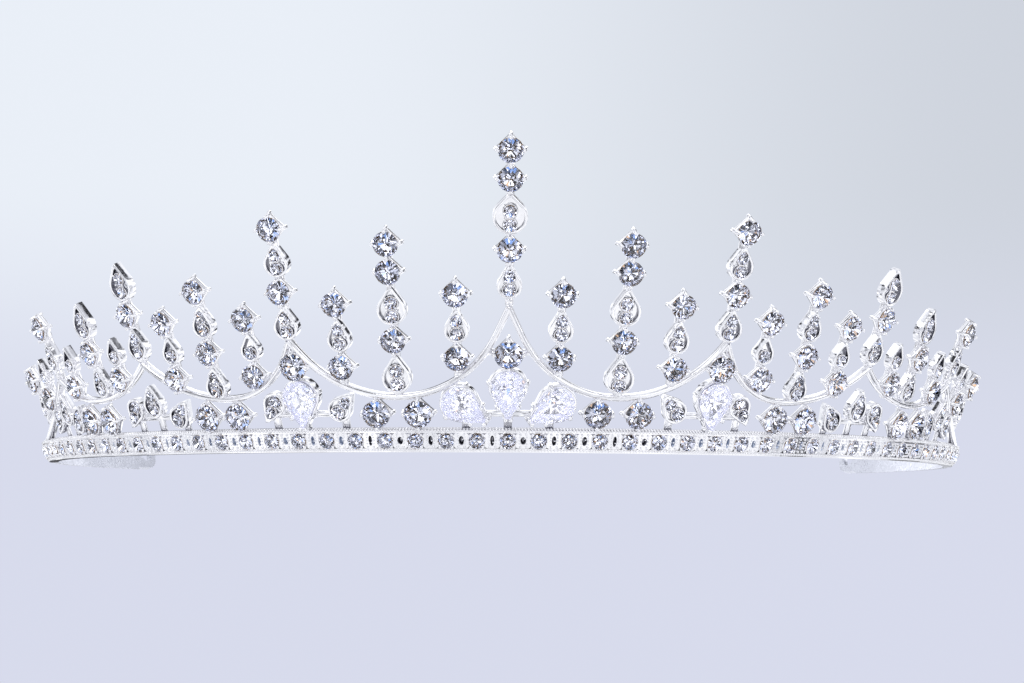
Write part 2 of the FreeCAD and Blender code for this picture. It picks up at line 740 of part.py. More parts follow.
rail = baseRail()
nodes.append(rail)
bandLeft = backBand("back_band_left", -railEnd - size("bandSweep"))
bandRight = backBand("back_band_right", railEnd)
nodes += [bandLeft, bandRight, endRing("end_ring_left", -1), endRing("end_ring_right", 1)]
for number in range(int(size("railStones"))):
    angle = size("railPitch") * number - lastStone
    front = size("railDepth") / 2 + size("bezelProud")
    stoneGroups["rail_stones"].append(place(railStone, onCone(angle, 0, 0, front)))


# ---- gallery between the rail and the swags -----------------------------------------------

railBlock = shapeNode("rail_block", coneSector(-90, 90, BLOCK_DEPTH, -size("railTop"),
                                               size("railTop")))


def backBar(label, where, start, finish, across):
    """Flat bar on the back of a casting: upright from the rail, or lying across."""
    bar = make("Part::Box", label, {}, Width="Sizes.spineDepth")
    if across:
        bar.Length = finish - start
        bar.setExpression("Height", "Sizes.spineWidth * Sizes.tieRatio")
        corner = Vector(start, 0, -size("spineWidth") * size("tieRatio") / 2)
    else:
        bar.setExpression("Length", "Sizes.spineWidth")
        bar.Height = finish - start
        corner = Vector(-size("spineWidth") / 2, 0, start)
    inset = Vector(0, size("castDepth") / 2 - size("spineDepth"), 0)
    bar.Placement = where * Placement(corner + inset, Rotation())
    return bar


def galleryCasting(label, items, sideBar):
    """One casting of settings on bars that rise from the rail, tied to each other."""
    pieces = []
    stones = []
    angles = [item[1] for item in items]
    middle = (min(angles) + max(angles)) / 2
    for number, (kind, angle, height, turn) in enumerate(items, start=1):
        where = onCone(angle, height, turn)
        pieces.append(place(masterOf(kind), where))
        layStones(kind, where)
        if kind == "pear":
            stones.append(place(pearStone, where))
        pieces.append(backBar(f"{label}_upright_{number}", onCone(angle), size("uprightFoot"),
                              height, False))
    tieHeight = size("tieHeight")
    tieRun = inPlane((max(angles) - min(angles)) / 2, tieHeight)[0]
    pieces.append(backBar(label + "_tie", onCone(middle, tieHeight), -tieRun, tieRun, True))
    if sideBar:
        reach = size("sideBarReach")
        pieces.append(backBar(label + "_side_bar", onCone(middle, size("sideBarHeight")), -reach,
                              reach, True))
    body = fuse(label + "_body", pieces)
    nodes.append(trimmed(label, body, [railBlock] + near(swags, middle) + stones))


galleryCasting("gallery_centre", GALLERY_CENTRE, True)
for name, items in GALLERY_CLUSTERS.items():
    for sideName, side in SIDES:
        mirrored = [(kind, side * angle, height, side * turn) for kind, angle, height, turn in items]
        galleryCasting(f"{name}_{sideName}", mirrored, False)
settings = []
for angle, height in GALLERY_ROUNDS:
    for sideName, side in SIDES:
        where = onCone(side * angle, height)
        layStones("gallery", where)
        settings.append(trimmed(f"gallery_setting_{angle:.0f}_{sideName}",
                                place(galleryMaster, where), [railBlock] + near(swags, side * angle)))
nodes.append(make("Part::Compound", "gallery_settings", {"Links": settings}))

for name, links in stoneGroups.items():
    nodes.append(make("Part::Compound", name, {"Links": links}))
doc.recompute()

# ---- checks and export --------------------------------------------------------------------

for item in doc.Objects:
    if "Invalid" in item.State or "Error" in item.State:
        raise RuntimeError(f"{item.Label} failed to build: {item.State}")

os.makedirs("parts", exist_ok=True)
for item in nodes:
    shape = item.Shape
    if shape.isNull() or not shape.isValid():
        raise RuntimeError(f"{item.Label} has no valid shape")
    print(f"{item.Label}: {len(shape.Solids)} solids, {shape.Volume:.1f} mm3")
    shape.exportStep(f"parts/{item.Label}.step")
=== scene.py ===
import math
import bmesh
import bpy
from mathutils import Matrix, Vector


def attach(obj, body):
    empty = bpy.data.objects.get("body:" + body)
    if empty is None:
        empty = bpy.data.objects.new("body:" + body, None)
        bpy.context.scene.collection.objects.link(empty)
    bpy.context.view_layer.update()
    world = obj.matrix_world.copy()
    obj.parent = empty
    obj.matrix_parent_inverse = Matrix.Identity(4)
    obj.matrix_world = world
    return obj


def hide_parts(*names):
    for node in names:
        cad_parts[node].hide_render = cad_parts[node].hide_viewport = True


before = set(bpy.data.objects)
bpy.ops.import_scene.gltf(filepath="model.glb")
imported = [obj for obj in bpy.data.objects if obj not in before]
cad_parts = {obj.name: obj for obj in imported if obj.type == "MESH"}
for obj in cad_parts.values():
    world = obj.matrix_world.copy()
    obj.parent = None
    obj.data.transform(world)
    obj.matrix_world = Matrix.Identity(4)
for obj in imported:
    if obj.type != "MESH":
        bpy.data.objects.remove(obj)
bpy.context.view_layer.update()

scene = bpy.context.scene
sides = (("left", -1), ("right", 1))
print("frame loaded:", len(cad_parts), "nodes")

# Lengths are in millimetres and angles round the head in degrees, as in the CAD part.
# A piece is scaled to metres once, when it is finished.
toMetres = Matrix.Scale(0.001, 4)

# the leaning front that everything is built on: radius and height of the rail's stone line, and
# how far the rail reaches above and below it
cone = {"radius": 72.5, "lean": math.radians(21.3), "stoneLine": 1.75, "railTop": 1.5}


def onCone(angle, height=0.0, turn=0.0):
    # moves a template, drawn flat with Z towards the viewer, to its place up the slope
    outward = Matrix.Rotation(math.radians(90), 4, "X")
    foot = Matrix.Translation((0, -cone["radius"], cone["stoneLine"]))
    lean = Matrix.Rotation(cone["lean"], 4, "X")
    local = Matrix.Translation((0, 0, height)) @ Matrix.Rotation(math.radians(turn), 4, "Y")
    return Matrix.Rotation(math.radians(angle), 4, "Z") @ foot @ lean @ local @ outward


# finishes: tone, roughness, depth of the casting grain, grain waves per metre
plating = {
    "silverPlate": ((0.94, 0.94, 0.96), 0.09, 0.25, 500.0),
    "bandPlate": ((0.80, 0.82, 0.9), 0.34, 0.18, 300.0),
    # the next two darker tones are painted shade: a bluish one with a painted reflection for the
    # rail's outer hollows, and the darkest for recesses and the middle hollows
    "hollowPaintedShade": ((0.6, 0.64, 0.73), 0.2, 0.4, 900.0),
    "recessShade": ((0.22, 0.22, 0.25), 0.22, 0.4, 900.0),
}
# clear stones: refraction and the faintest tint
clearStones = {"crystalGlass": (1.55, (0.93, 0.95, 1.0)),
               "pearZirconia": (1.75, (0.985, 0.98, 1.0))}
# coats on the backs of stones: metallic, roughness, cloud waves per metre, darker and lighter tone
coats = {
    "mirrorFoil": (1.0, 0.03, 900.0, (0.78, 0.79, 0.84), (0.9, 0.91, 0.96)),
    "pearPavilion": (0.8, 0.03, 700.0, (0.9, 0.9, 1.0), (0.97, 0.98, 1.0)),
    "foilLacquer": (0.7, 0.3, 1400.0, (0.16, 0.09, 0.035), (0.5, 0.36, 0.22)),
}
pearGlow = {"colour": (0.83, 0.855, 1.0), "strength": 0.16}   # painted glow: milky light given off inside the pear stones, though they are no lamp


def newMaterial(name):
    material = bpy.data.materials.new(name)
    material.use_nodes = True
    tree = material.node_tree
    return material, tree, tree.nodes["Principled BSDF"]


def addNode(tree, kind, inputs=None, **settings):
    node = tree.nodes.new(kind)
    for key, value in settings.items():
        setattr(node, key, value)
    for key, value in (inputs or {}).items():
        if isinstance(value, bpy.types.NodeSocket):
            tree.links.new(value, node.inputs[key])
        else:
            node.inputs[key].default_value = value
    return node


def ramp(tree, factor, stops):
    node = addNode(tree, "ShaderNodeValToRGB", {0: factor})
    elements = node.color_ramp.elements
    while len(elements) < len(stops):
        elements.new(0.5)
    for element, (place, colour) in zip(elements, stops):
        element.position = place
        element.color = (*colour, 1)
    return node.outputs[0]


def noise(tree, waves, detail):
    where = addNode(tree, "ShaderNodeTexCoord").outputs["Object"]
    return addNode(tree, "ShaderNodeTexNoise",
                   {"Vector": where, "Scale": waves, "Detail": detail}).outputs[0]


def silverMaterial(name):
    # plate metal in the tone from the table, bright or darker where it paints shade: a little
    # uneven from casting, with finer polishing marks
    tone, roughness, grain, waves = plating[name]
    material, tree, shader = newMaterial(name)
    cast = noise(tree, waves, 3.0)
    marks = noise(tree, waves * 9, 2.0)
    colour = ramp(tree, cast, ((0.3, tuple(part * 0.93 for part in tone)), (0.65, tone)))
    rough = addNode(tree, "ShaderNodeMapRange", {0: marks, 1: 0.3, 2: 0.7, 3: roughness * 0.6,
                                                 4: roughness * 1.5})
    bump = addNode(tree, "ShaderNodeBump", {"Height": cast, "Strength": grain, "Distance": 0.0002})
    shader.inputs["Metallic"].default_value = 1.0
    tree.links.new(colour, shader.inputs["Base Color"])
    tree.links.new(rough.outputs[0], shader.inputs["Roughness"])
    tree.links.new(bump.outputs[0], shader.inputs["Normal"])
    return material


def gemMaterial(name):
    # clear cut glass: the tint wanders a little from stone to stone
    refraction, tint = clearStones[name]
    material, tree, shader = newMaterial(name)
    colour = ramp(tree, noise(tree, 160.0, 1.0), ((0.35, tint), (0.6, (1.0, 1.0, 1.0))))
    tree.links.new(colour, shader.inputs["Base Color"])
    shader.inputs["Roughness"].default_value = 0.0
    shader.inputs["IOR"].default_value = refraction
    shader.inputs["Transmission Weight"].default_value = 1.0
    return material


def coatMaterial(name):
    # coat on the back or the edge of a stone, with faint clouds where it was rubbed
    metallic, roughness, waves, darker, lighter = coats[name]
    material, tree, shader = newMaterial(name)
    colour = ramp(tree, noise(tree, waves, 2.0), ((0.35, darker), (0.65, lighter)))
    tree.links.new(colour, shader.inputs["Base Color"])
    shader.inputs["Metallic"].default_value = metallic
    shader.inputs["Roughness"].default_value = roughness
    return material


def glowing(material, glow):
    # paints a glow into the surface, as if it gave off light
    shader = material.node_tree.nodes["Principled BSDF"]
    shader.inputs["Emission Color"].default_value = (*glow["colour"], 1)
    shader.inputs["Emission Strength"].default_value = glow["strength"]
    return material


plateFinish = silverMaterial("silverPlate")
bandFinish = silverMaterial("bandPlate")
hollowShadeFinish = silverMaterial("hollowPaintedShade")
shadeFinish = silverMaterial("recessShade")
crystalFinish = gemMaterial("crystalGlass")
zirconiaFinish = gemMaterial("pearZirconia")
pavilionFinish = glowing(coatMaterial("pearPavilion"), pearGlow)
foilFinish = coatMaterial("mirrorFoil")
lacquerFinish = coatMaterial("foilLacquer")
print("materials ready")


def flatFace(bm, points):
    # one face through the given corners
    verts = bmesh.ops.create_circle(bm, cap_ends=True, segments=len(points), radius=1)["verts"]
    face = verts[0].link_faces[0]
    for vert, point in zip(face.verts, points):
        vert.co = point
    return face


def startFace(bm, segments, level, shape):
    # first ring of a setting, closed by a face
    verts = bmesh.ops.create_circle(bm, cap_ends=True, segments=segments, radius=1)["verts"]
    for vert in verts:
        vert.co = Vector((*shape(vert.co.x, vert.co.y), level))
    return verts[0].link_faces[0]


def pullOut(bm, face):
    # extrudes one face; the face it leaves behind is only kept where it closes the start
    walled = all(len(edge.link_faces) > 1 for edge in face.edges)
    pulled = bmesh.ops.extrude_face_region(bm, geom=[face])["geom"]
    if walled and face.is_valid:
        bmesh.ops.delete(bm, geom=[face], context="FACES_ONLY")
    return [part for part in pulled if isinstance(part, bmesh.types.BMFace)][0]


def pullFace(bm, face, level, shape):
    # next ring of a setting: shape gives the new place of each corner of the face
    face = pullOut(bm, face)
    for vert in face.verts:
        vert.co = Vector((*shape(vert.co.x, vert.co.y), level))
    return face


def block(bm, low, high, edge):
    low, high = Vector(low), Vector(high)
    edge = min(edge, min(high - low) * 0.3)   # a thin bar keeps some flat on each side
    place = Matrix.Translation((low + high) / 2) @ Matrix.Diagonal((*(high - low), 1))
    bmesh.ops.create_cube(bm, size=1, matrix=place)
    bmesh.ops.bevel(bm, geom=bm.edges[:], offset=edge, offset_type="OFFSET", affect="EDGES",
                    segments=1, profile=0.5, material=-1)


def capsule(bm, foot, tip, radius):
    # round-ended claw from foot to tip
    axis = Vector(tip) - Vector(foot)
    verts = bmesh.ops.create_uvsphere(bm, u_segments=8, v_segments=6, radius=radius)["verts"]
    for vert in verts:
        if vert.co.z > 0.001:
            vert.co.z += axis.length
    turn = axis.to_track_quat("Z", "Y").to_matrix().to_4x4()
    bmesh.ops.transform(bm, matrix=Matrix.Translation(foot) @ turn, verts=verts)


def bead(bm, place, radius):
    bmesh.ops.create_icosphere(bm, subdivisions=1, radius=radius, matrix=Matrix.Translation(place))


def circular(radius, centre=(0, 0)):
    def shape(x, y):
        angle = math.atan2(y - centre[1], x - centre[0])
        return centre[0] + radius * math.cos(angle), centre[1] + radius * math.sin(angle)
    return shape


def template(build, *details):
    bm = bmesh.new()
    build(bm, *details)
    bmesh.ops.recalc_face_normals(bm, faces=bm.faces)
    mesh = bpy.data.meshes.new("template")
    bm.to_mesh(mesh)
    bm.free()
    return mesh


def addCopy(bm, mesh, place):
    start = len(bm.verts)
    bm.from_mesh(mesh)
    bm.verts.ensure_lookup_table()
    bmesh.ops.transform(bm, matrix=place, verts=bm.verts[start:])


def finishPiece(bm, name, node, finishes, crease=50):
    bm.transform(toMetres)
    mesh = bpy.data.meshes.new(name)
    bm.to_mesh(mesh)
    bm.free()
    piece = bpy.data.objects.new(name, mesh)
    scene.collection.objects.link(piece)
    for finish in finishes:
        mesh.materials.append(finish)
    if crease:
        mesh.shade_smooth()
        mesh.set_sharp_from_angle(angle=math.radians(crease))
    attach(piece, "root")
    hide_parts(node)


# round stones, in radii: radius and height of the table, girdle's half thickness, culet's radius
cut = {"table": (0.6, 0.3), "girdle": 0.04, "culet": 0.03}


def ring(bm, count, radius, level, turn=0.0):
    place = Matrix.Translation((0, 0, level)) @ Matrix.Rotation(math.radians(turn), 4, "Z")
    return bmesh.ops.create_circle(bm, segments=count, radius=radius, matrix=place)["verts"]


def closeHull(bm):
    # facets are the flat sides of the hull round the rings
    made = bmesh.ops.convex_hull(bm, input=bm.verts[:])
    spare = {part for key in ("geom_interior", "geom_unused") for part in made[key]
             if isinstance(part, bmesh.types.BMVert)}
    bmesh.ops.delete(bm, geom=[vert for vert in spare if vert.is_valid], context="VERTS")
    bmesh.ops.dissolve_limit(bm, angle_limit=math.radians(1.5), verts=bm.verts[:],
                             edges=bm.edges[:])


def brilliant(bm, radius, depth):
    # a table with 8 mains and 16 edge facets over a pavilion of 8
    ring(bm, 8, *cut["table"])
    ring(bm, 16, 1.0, cut["girdle"])
    ring(bm, 16, 1.0, -cut["girdle"])
    ring(bm, 8, cut["culet"], -depth, 22.5)
    closeHull(bm)
    bmesh.ops.recalc_face_normals(bm, faces=bm.faces)
    for face in bm.faces:   # clear crown, mirror foil below, lacquer line round the edge
        foiled = face.calc_center_median().z < -0.03
        face.material_index = 2 if abs(face.normal.z) < 0.1 else 1 if foiled else 0
    bmesh.ops.scale(bm, vec=(radius,) * 3, verts=bm.verts[:])


# rings of the pear stone, front to back: corners, share of width and height, level, share of lift
pear = {
    "width": 4.8, "height": 6.8, "girdle": 1.2, "lift": -0.25,
    "rings": ((12, 0.56, 0.54, 0.78, 1), (24, 0.76, 0.75, 0.55, 0.7), (16, 0.9, 0.9, 0.31, 0.3),
              (32, 1, 1, 0.06, 0), (32, 1, 1, -0.04, 0), (20, 0.78, 0.76, -0.5, 0.5),
              (12, 0.48, 0.46, -0.95, 1), (8, 0.1, 0.14, -1.3, 2)),
    "rim": 0.28, "ledge": 0.25, "floor": -0.4, "tip": 0.2, "clawRadius": 0.36,
    "claws": ((1.35, 1.75), (0.35, 3.35)),   # upper claws of one side; the lowest follow the belly
    "clawFoot": (1.1, 1.05, -0.2),           # foot of a claw: shares of its place, and level
}


def dropPoint(angle, width, height, tip):
    # round bottom, two straight sides tangent to it, a blunt point at the top
    radius = width / 2
    centre = radius - height / 2
    reach = height / 2 - centre
    lean = math.asin(radius / reach)
    angle = (angle + math.pi / 2) % (2 * math.pi) - math.pi / 2
    if angle <= lean or angle >= math.pi - lean:
        return Vector((radius * math.cos(angle), centre + radius * math.sin(angle), 0))
    along = (angle - lean) / (math.pi / 2 - lean)
    side = 1 if along <= 1 else -1
    along = min(along, 2 - along)
    foot = Vector((side * radius * math.cos(lean), centre + radius * math.sin(lean), 0))
    point = Vector((side * tip, height / 2, 0))
    return foot.lerp(point, along)


def dropRing(bm, count, width, height, level, lift=0.0, tip=0.12):
    verts = bmesh.ops.create_circle(bm, segments=count, radius=1.0, cap_ends=False)["verts"]
    for vert in verts:
        spot = dropPoint(math.atan2(vert.co.y, vert.co.x), width, height, tip)
        vert.co = Vector((spot.x, spot.y + lift, level))


def pearStone(bm):
    width, height, lift = pear["width"], pear["height"], pear["lift"]
    for count, across, up, level, shift in pear["rings"]:
        dropRing(bm, count, width * across, height * up, level, lift * shift)
    closeHull(bm)
    for face in bm.faces:
        face.material_index = 1 if face.calc_center_median().z < -0.05 else 0


# claw settings: levels are ahead of the middle of the plate, pavilion and bowl are in stone radii
claw = {"reach": 2.25, "sharpness": 0.95, "plate": (-0.3, 0.5), "stone": 1.75, "girdle": 1.0,
        "pavilion": 0.7, "proud": 1.45, "radius": 0.3, "rimBelow": 0.16, "bowlDepth": 0.5,
        "bowl": (0.86, 0.97, 0.92, 0.76, 0.25)}
galleryClaw = dict(claw, reach=2.45, stone=1.95)
# all castings: width and depth of the spine, width of a stem, and the softened edges
casting = {"depth": 1.3, "spine": (1.1, 0.45), "foot": 1.0, "edge": 0.1, "footEdge": 0.2,
           "rimEdge": 0.12}


def fourCornered(reach, sharpness):
    # square standing on a corner, its sides drawn in a little when sharpness is under 1
    def shape(x, y):
        angle = math.atan2(y, x)
        across, up = abs(math.cos(angle)) ** sharpness, abs(math.sin(angle)) ** sharpness
        length = reach * (across + up) ** (-1 / sharpness)
        return length * math.cos(angle), length * math.sin(angle)
    return shape


def clawSetting(bm, sizes):
    (back, front), edge = sizes["plate"], casting["edge"]
    stone, rim = sizes["stone"], sizes["girdle"] - sizes["rimBelow"]
    collar, lip, ledge, bowl, bottom = (stone * share for share in sizes["bowl"])
    wide = fourCornered(sizes["reach"], sizes["sharpness"])
    narrow = fourCornered(sizes["reach"] - edge * 1.5, sizes["sharpness"])
    face = startFace(bm, 48, back, narrow)
    # plate, collar, then the bowl that the pavilion hangs in
    for level, shape in ((back + edge, wide), (front - edge, wide), (front, narrow),
                         (front, circular(collar)), (rim, circular(lip)), (rim, circular(ledge)),
                         (rim - sizes["bowlDepth"], circular(bowl)),
                         (back + 0.03, circular(bottom))):
        face = pullFace(bm, face, level, shape)
    for corner in range(4):
        turn = math.radians(90 * corner)
        direction = Vector((math.cos(turn), math.sin(turn), 0))
        capsule(bm, direction * (stone + 0.3) + Vector((0, 0, -0.25)),
                direction * (stone + 0.02) + Vector((0, 0, sizes["proud"] - 0.1)), sizes["radius"])


def seatRing(bm, segments, outer, bottom, top, stone, centre=(0, 0)):
    # collar with a bowl under the stone
    face = startFace(bm, segments, bottom,
                     lambda x, y: (outer * x + centre[0], outer * y + centre[1]))
    for level, radius in ((top - 0.07, outer), (top, outer - 0.06), (top, stone * 0.97),
                          (bottom + 0.03, stone * 0.3)):
        face = pullFace(bm, face, level, circular(radius, centre))


# drop plaques: width, height and number of small stones
plaques = {"large": (4.7, 5.6, 2), "tall": (4.1, 5.5, 2), "peak": (3.6, 4.8, 2),
           "short": (3.4, 4.8, 2), "small": (3.0, 4.1, 1)}
small = {"stone": 0.9, "seat": 1.05, "pavilion": 0.48, "girdle": 0.55, "rim": 0.38, "floor": 0.02,
         "tip": 0.15, "inside": 0.3, "spacing": 0.93, "grain": 0.17, "grainReach": 1.06}


def dropPlate(bm, width, height, tip, rim, floor):
    # drop with a rounded raised rim round a sunken floor
    half, edge, radius = casting["depth"] / 2, casting["rimEdge"], width / 2
    centre = radius - height / 2
    dropRing(bm, 48, width, height, -half, 0, tip)
    face = bmesh.ops.contextual_create(bm, geom=bm.verts[:])["faces"][0]
    reached = 1.0
    for level, inward in ((half - edge, 0), (half - edge * 0.3, edge * 0.3), (half, edge),
                          (half, rim - edge), (half - edge * 0.5, rim), (floor, rim + 0.05)):
        share = 1 - inward / radius
        grow, reached = share / reached, share
        face = pullFace(bm, face, level, lambda x, y: (x * grow, centre + (y - centre) * grow))
    for wall in {wall for edge in face.edges for wall in edge.link_faces if wall is not face}:
        wall.material_index = 1   # painted shade: a dark line inside the rim


def plaqueStones(kind):
    # heights of the small stones, the lowest just inside the rim
    _, height, count = plaques[kind]
    lowest = small["seat"] + small["rim"] * small["inside"] - height / 2
    return [lowest + step * 2 * small["seat"] * small["spacing"] for step in range(count)]


def plaqueSetting(bm, kind):
    dropPlate(bm, *plaques[kind][:2], small["tip"], small["rim"], small["floor"])
    reach, front = small["stone"] * small["grainReach"], small["girdle"] + 0.06
    for height in plaqueStones(kind):
        seatRing(bm, 20, small["seat"], small["floor"] - 0.1, small["girdle"] - 0.04,
                 small["stone"], (0, height))
        for corner in range(4):
            turn = math.radians(45 + 90 * corner)
            bead(bm, (reach * math.cos(turn), height + reach * math.sin(turn), front),
                 small["grain"])


def pearSetting(bm):
    width, height = pear["width"] + 2 * pear["rim"], pear["height"] + 2 * pear["rim"]
    dropPlate(bm, width, height, pear["tip"], pear["rim"] + pear["ledge"], pear["floor"])
    belly, front = pear["width"] / 2, pear["girdle"] + 0.3
    wider, higher, level = pear["clawFoot"]
    for x, y in ((belly, belly - pear["height"] / 2 - 0.5), *pear["claws"]):
        for side in (1, -1):
            capsule(bm, (side * x * wider, y * higher, level), (side * x, y, front),
                    pear["clawRadius"])


spireGem = template(brilliant, claw["stone"], claw["pavilion"])
galleryGem = template(brilliant, galleryClaw["stone"], claw["pavilion"])
smallGem = template(brilliant, small["stone"], small["pavilion"])
pearGem = template(pearStone)
settings = {kind: template(plaqueSetting, kind) for kind in plaques}
settings["round"] = template(clawSetting, claw)
settings["gallery"] = template(clawSetting, galleryClaw)
settings["pear"] = template(pearSetting)

stoneTurn = 0.37   # radians, times a count that grows from stone to stone
stoneBeds = {"rail_stones": bmesh.new(), "spire_round_stones": bmesh.new(),
             "plaque_stones": bmesh.new(), "gallery_round_stones": bmesh.new(),
             "pear_stones": bmesh.new()}


def setStones(kind, place):
    # each round stone is turned a little in its seat, so no two catch the light alike
    def lay(bed, mesh, level, height=0.0):
        turn = Matrix.Rotation(len(stoneBeds[bed].verts) * stoneTurn, 4, "Z")
        addCopy(stoneBeds[bed], mesh, place @ Matrix.Translation((0, height, level)) @ turn)
    if kind == "round":
        lay("spire_round_stones", spireGem, claw["girdle"])
    elif kind == "gallery":
        lay("gallery_round_stones", galleryGem, galleryClaw["girdle"])
    elif kind == "pear":
        raised = Matrix.Translation((0, 0, pear["girdle"]))
        addCopy(stoneBeds["pear_stones"], pearGem, place @ raised)
    else:
        for height in plaqueStones(kind):
            lay("plaque_stones", smallGem, small["girdle"], height)


def backBar(bm, place, across, up):
    # flat bar on the back of a casting, over a range across and a range up
    back = -casting["depth"] / 2
    front = back + casting["spine"][1]
    bar = template(block, (across[0], up[0], back), (across[1], up[1], front), casting["edge"])
    addCopy(bm, bar, place)


# swags: apex, low point and next apex, each an angle and a height
swags = {
    "swag_1": ((0.0, 18.7), (11.45, 6.15), (22.6, 14.3)),
    "swag_2": ((22.6, 14.3), (30.7, 6.15), (42.0, 11.85)),
    "swag_3": ((42.0, 11.85), (51.6, 6.7), (59.5, 10.4)),
    "swag_4": ((59.5, 10.4), (78.0, 1.2), (79.0, 1.2)),
}
swagWire = {"face": 0.8, "depth": 1.4, "corner": 0.25, "apexSlope": math.radians(62), "step": 0.4}


def halfSpan(low, end):
    # run and rise from a swag's low point to its end, seen square on
    lean = math.sin(cone["lean"])
    radius = cone["radius"] + end[1] * lean
    turn = math.radians(abs(end[0] - low[0]))
    return radius * math.sin(turn), end[1] - radius * (1 - math.cos(turn)) * lean - low[1]


def swagRise(run, spanRun, spanRise):
    # arc from the low point, then a straight stretch up to the apex where there is room for it
    slope = swagWire["apexSlope"]
    radius = (spanRun * math.sin(slope) - spanRise * math.cos(slope)) / (1 - math.cos(slope))
    if radius <= 0 or spanRun < radius * math.sin(slope):
        radius = (spanRun ** 2 + spanRise ** 2) / (2 * spanRise)
        slope = 2 * math.atan2(spanRise, spanRun)
    bend = radius * math.sin(slope)
    if run <= bend:
        return radius - math.sqrt(radius ** 2 - run ** 2)
    return radius * (1 - math.cos(slope)) + (run - bend) * math.tan(slope)


def swagHeight(angle):
    lean = math.sin(cone["lean"])
    for apex, low, nextApex in swags.values():
        if apex[0] <= abs(angle) <= nextApex[0]:
            end = apex if abs(angle) < low[0] else nextApex
            if end[1] <= low[1]:
                return low[1]
            turn = math.radians(abs(angle) - low[0])
            height = low[1]
            for _ in range(4):   # the cone's radius grows with the height found
                radius = cone["radius"] + height * lean
                rise = swagRise(abs(radius * math.sin(turn)), *halfSpan(low, end))
                height = low[1] + rise + radius * (1 - math.cos(turn)) * lean
            return height
    return cone["railTop"]


# spires: angle round the head, height of the top setting, and the settings from the top down
spires = {
    "spire_centre": (0.0, 40.5, ("round", "round", "large", "round", "short")),
    "spire_short_1": (5.15, 20.7, ("round", "short", "round")),
    "spire_tall_1": (11.45, 27.8, ("round", "round", "tall", "round", "tall")),
    "spire_short_2": (17.1, 19.5, ("round", "short", "round")),
    "spire_peak_1": (22.6, 30.25, ("round", "peak", "round", "peak")),
    "spire_short_3": (27.1, 17.7, ("round", "small", "round")),
    "spire_tall_2": (32.25, 21.95, ("round", "short", "round", "short")),
    "spire_short_4": (37.3, 17.65, ("round", "small", "round")),
    "spire_peak_2": (42.0, 24.0, ("tall", "round", "peak")),
    "spire_short_5": (46.1, 13.9, ("small", "round")),
    "spire_tall_3": (50.2, 18.8, ("tall", "round", "short")),
    "spire_short_6": (55.5, 13.3, ("small", "round")),
    "spire_peak_3": (59.5, 18.6, ("round", "short")),
    "spire_short_7": (63.9, 12.0, ("small", "round")),
    "spire_short_8": (68.0, 11.0, ("round", "small")),
}
# spacing of the settings in a spire, and how its foot and its stem sink into their neighbours
stack = {"roundStep": 3.9, "roundHalf": 1.95, "gap": 0.1, "intoSwag": 0.3, "intoSetting": 0.3,
         "shortestStem": 0.2}


def halfHeight(kind):
    return stack["roundHalf"] if kind == "round" else plaques[kind][1] / 2


def stackHeights(top, kinds):
    heights = [top]
    for upper, lower in zip(kinds, kinds[1:]):
        step = halfHeight(upper) + halfHeight(lower) + stack["gap"]
        if upper == lower == "round":
            step = stack["roundStep"]
        heights.append(heights[-1] - step)
    return heights


def makeSpire(name, angle, top, kinds):
    bm = bmesh.new()
    heights = stackHeights(top, kinds)
    for kind, height in zip(kinds, heights):
        place = onCone(angle, height)
        addCopy(bm, settings[kind], place)
        setStones(kind, place)
    foot = swagHeight(angle) + swagWire["face"] * stack["intoSwag"]
    half = casting["spine"][0] / 2
    backBar(bm, onCone(angle), (-half, half), (foot, heights[0]))
    bottom = heights[-1] - halfHeight(kinds[-1]) + stack["intoSetting"]
    if bottom > foot + stack["shortestStem"]:   # the lowest setting stands clear of the swag
        wide, deep = casting["foot"] / 2, casting["depth"] / 2
        stem = template(block, (-wide, foot, -deep), (wide, bottom, deep), casting["footEdge"])
        addCopy(bm, stem, onCone(angle))
    finishPiece(bm, name + "_plate", name, [plateFinish, shadeFinish])


for name, (angle, top, kinds) in spires.items():
    if angle == 0:
        makeSpire(name, angle, top, kinds)
    else:
        for sideName, side in sides:
            makeSpire(f"{name}_{sideName}", side * angle, top, kinds)
print("spires ready")


def swagSection():
    x, z, corner = swagWire["face"] / 2, swagWire["depth"] / 2, swagWire["corner"]
    return [Vector((*point, 0)) for point in (
        (x - corner, -z), (x, -z + corner), (x, z - corner), (x - corner, z),
        (-x + corner, z), (-x, z - corner), (-x, -z + corner), (-x + corner, -z))]


def swagStations(start, finish, side):
    # places along a swag, each with Z along the wire and Y out of the front
    count = max(8, int((finish - start) / swagWire["step"]))
    places = []
    for number in range(count + 1):
        angle = start + (finish - start) * number / count
        within = min(angle, finish - 1e-6) if number else angle
        height = max(swagHeight(within), cone["railTop"] - 0.2)
        places.append(onCone(side * angle, height))
    stations = []
    for number, place in enumerate(places):
        before = places[max(number - 1, 0)].translation
        after = places[min(number + 1, count)].translation
        along = (after - before).normalized()
        normal = (place.to_3x3() @ Vector((0, 0, 1))).normalized()
        across = normal.cross(along).normalized()
        turn = Matrix((across, normal, along)).transposed().to_4x4()
        stations.append(Matrix.Translation(place.translation) @ turn)
    return stations


def makeSwag(name, start, finish, side):
    bm = bmesh.new()
    stations = swagStations(start, finish, side)
    face = flatFace(bm, [stations[0] @ point for point in swagSection()])
    for before, station in zip(stations, stations[1:]):
        face = pullOut(bm, face)
        bmesh.ops.transform(bm, matrix=station @ before.inverted(), verts=list(face.verts))
    bmesh.ops.recalc_face_normals(bm, faces=bm.faces)
    finishPiece(bm, name + "_wire", name, [plateFinish])


for name, (apex, low, nextApex) in swags.items():
    for sideName, side in sides:
        makeSwag(f"{name}_{sideName}", apex[0], nextApex[0], side)
print("swags ready")


